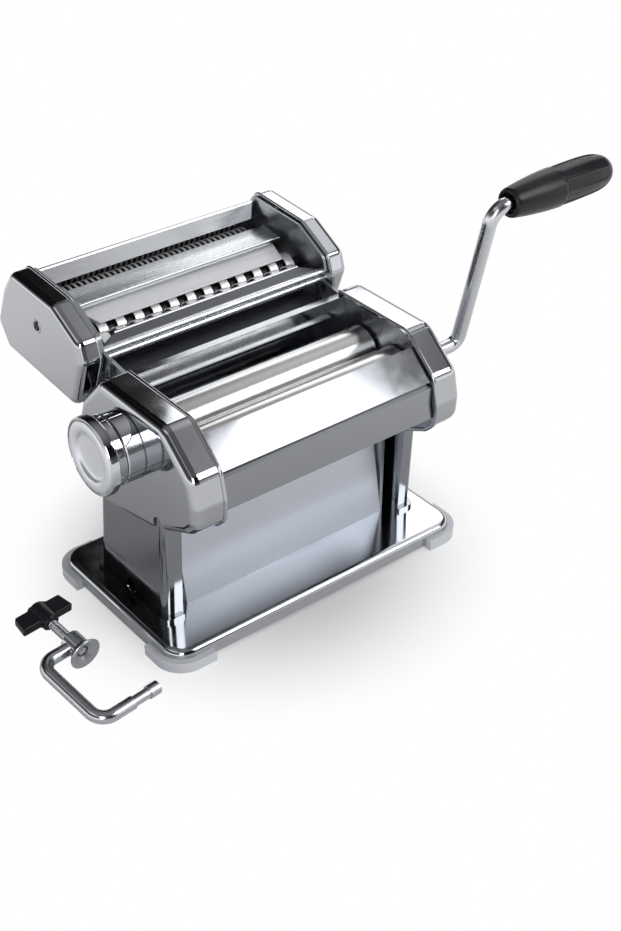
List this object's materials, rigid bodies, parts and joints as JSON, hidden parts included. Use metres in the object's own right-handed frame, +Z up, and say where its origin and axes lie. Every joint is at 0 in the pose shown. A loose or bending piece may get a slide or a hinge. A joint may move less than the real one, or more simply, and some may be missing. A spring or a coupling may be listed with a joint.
{
  "type": "pasta roller machine",
  "caption": "Hand-cranked table machine with two smooth rollers, a thickness dial, a lift-off double cutter head and a table clamp, for rolling dough into sheets and strips.",
  "frame": {"origin": "on the table, under the middle of the base", "axes": "+X along the rollers towards the crank, +Y to the back where the cutter head hangs, +Z up"},
  "size_m": [0.3958, 0.2096, 0.2324],
  "materials": {
    "polished_steel_tray": "polished sheet",
    "clear_rubber_feet": "soft translucent grey",
    "polished_steel_stand": "polished sheet",
    "satin_steel_chute": "satin sheet",
    "zinc_plate": "zinc plated",
    "steel_screws": "plated",
    "chrome_caps": "mirror chrome",
    "chrome_panels": "mirror chrome",
    "steel_rods": "turned",
    "spring_steel_blades": "satin strip",
    "bronze_bushes": "sintered",
    "roller_metal": "turned satin",
    "gear_steel": "milled",
    "cutter_steel": "ground",
    "comb_metal": "pressed",
    "chrome_dial": "mirror chrome",
    "pale_dial_disc": "satin",
    "chrome_rod": "mirror chrome",
    "black_grip": "moulded"
  },
  "bodies": {
    "machine": {"base_tray": "polished_steel_tray", "corner_feet": "clear_rubber_feet", "left_pillar": "polished_steel_stand", "right_pillar": "polished_steel_stand", "clamp_socket": "polished_steel_stand", "chute": "satin_steel_chute", "left_side_plate": "zinc_plate", "right_side_plate": "zinc_plate", "stand_screws": "steel_screws", "left_end_cap": "chrome_caps", "right_end_cap": "chrome_caps", "front_panel": "chrome_panels", "rear_panel": "chrome_panels", "tie_rods": "steel_rods", "scraper_bar": "zinc_plate", "front_scraper": "spring_steel_blades", "drive_bushes": "bronze_bushes", "cutter_pegs": "steel_rods", "dial_collar": "chrome_dial"},
    "front_roller_unit": {"drive_roller": "roller_metal", "drive_shaft": "steel_rods", "drive_gear": "gear_steel"},
    "rear_carriage": {"left_bearing_block": "zinc_plate", "right_bearing_block": "zinc_plate", "carriage_bar": "zinc_plate", "rear_scraper": "spring_steel_blades"},
    "rear_roller_unit": {"rear_roller": "roller_metal", "rear_shaft": "steel_rods", "rear_gear": "gear_steel"},
    "dial_cam_unit": {"dial_hub": "steel_rods", "dial_cam": "steel_rods"},
    "dial_knob_unit": {"dial_knob": "chrome_dial", "dial_face": "pale_dial_disc"},
    "crank": {"crank_rod": "chrome_rod"},
    "grip": {"crank_grip": "black_grip"},
    "cutter_head": {"left_cutter_cap": "chrome_caps", "right_cutter_cap": "chrome_caps", "left_cutter_plate": "zinc_plate", "right_cutter_plate": "zinc_plate", "cutter_rear_sheet": "chrome_panels", "cutter_divider": "chrome_panels", "cutter_front_sheet": "chrome_panels", "cutter_front_rail": "chrome_panels", "cutter_rods": "steel_rods", "cutter_cap_screws": "steel_screws", "cutter_combs": "comb_metal"},
    "fine_front_unit": {"fine_front_roller": "cutter_steel", "fine_front_gear": "gear_steel"},
    "fine_rear_unit": {"fine_rear_roller": "cutter_steel", "fine_rear_gear": "gear_steel"},
    "wide_front_unit": {"wide_front_roller": "cutter_steel", "wide_front_gear": "gear_steel"},
    "wide_rear_unit": {"wide_rear_roller": "cutter_steel", "wide_rear_gear": "gear_steel"},
    "clamp": {"clamp_frame": "chrome_rod"},
    "clamp_pad_unit": {"clamp_pad": "chrome_rod"},
    "clamp_screw_unit": {"clamp_screw": "chrome_rod", "clamp_handle": "black_grip"}
  },
  "joints": [
    {"name": "crank_turn", "type": "hinge", "parent": "machine", "child": "front_roller_unit", "pos_m": [0, -0.0355, 0.1232], "axis": [1, 0, 0], "continuous": true},
    {"name": "crank_pull", "type": "slide", "parent": "front_roller_unit", "child": "crank", "axis": [1, 0, 0], "range_m": [0, 0.03]},
    {"name": "grip_spin", "type": "hinge", "parent": "crank", "child": "grip", "pos_m": [0.179, -0.05697, 0.22087], "axis": [1, 0, 0], "continuous": true},
    {"name": "dial_turn", "type": "hinge", "parent": "machine", "child": "dial_cam_unit", "pos_m": [-0.1, -0.004, 0.1232], "axis": [1, 0, 0], "range_deg": [0, 270]},
    {"name": "dial_pull", "type": "slide", "parent": "dial_cam_unit", "child": "dial_knob_unit", "axis": [-1, 0, 0], "range_m": [0, 0.004], "stiffness_N_per_m": 800, "springref_m": -0.002},
    {"name": "gap_slide", "type": "slide", "parent": "machine", "child": "rear_carriage", "axis": [0, -1, 0], "range_m": [0, 0.0022]},
    {"name": "rear_turn", "type": "hinge", "parent": "rear_carriage", "child": "rear_roller_unit", "pos_m": [0, -0.004, 0.1232], "axis": [1, 0, 0], "continuous": true},
    {"name": "cutter_lift", "type": "slide", "parent": "machine", "child": "cutter_head", "axis": [0, 0, 1], "range_m": [0, 0.06]},
    {"name": "fine_turn", "type": "hinge", "parent": "cutter_head", "child": "fine_front_unit", "pos_m": [0, 0.0995, 0.149], "axis": [1, 0, 0], "continuous": true},
    {"name": "fine_rear_turn", "type": "hinge", "parent": "cutter_head", "child": "fine_rear_unit", "pos_m": [0, 0.1155, 0.149], "axis": [1, 0, 0], "continuous": true},
    {"name": "wide_turn", "type": "hinge", "parent": "cutter_head", "child": "wide_rear_unit", "pos_m": [0, 0.07, 0.149], "axis": [1, 0, 0], "continuous": true},
    {"name": "wide_front_turn", "type": "hinge", "parent": "cutter_head", "child": "wide_front_unit", "pos_m": [0, 0.054, 0.149], "axis": [1, 0, 0], "continuous": true},
    {"name": "clamp_lift", "type": "slide", "parent": "machine", "child": "clamp", "axis": [0, 0, 1], "range_m": [0, 0.08]},
    {"name": "pad_slide", "type": "slide", "parent": "clamp", "child": "clamp_pad_unit", "axis": [0.1121, -0.9841, -0.1378], "range_m": [0, 0.015]},
    {"name": "screw_turn", "type": "hinge", "parent": "clamp_pad_unit", "child": "clamp_screw_unit", "pos_m": [-0.14691, -0.01653, 0.01144], "axis": [0.1121, -0.9841, -0.1378], "range_deg": [0, 1800]}
  ],
  "couplings": [
    {"joint": "rear_turn", "follows": "crank_turn", "ratio": -1},
    {"joint": "dial_turn", "follows": "gap_slide", "rad_per_m": 2142},
    {"joint": "fine_rear_turn", "follows": "fine_turn", "ratio": -1},
    {"joint": "wide_front_turn", "follows": "wide_turn", "ratio": -1},
    {"joint": "screw_turn", "follows": "pad_slide", "rad_per_m": 2094.4}
  ]
}
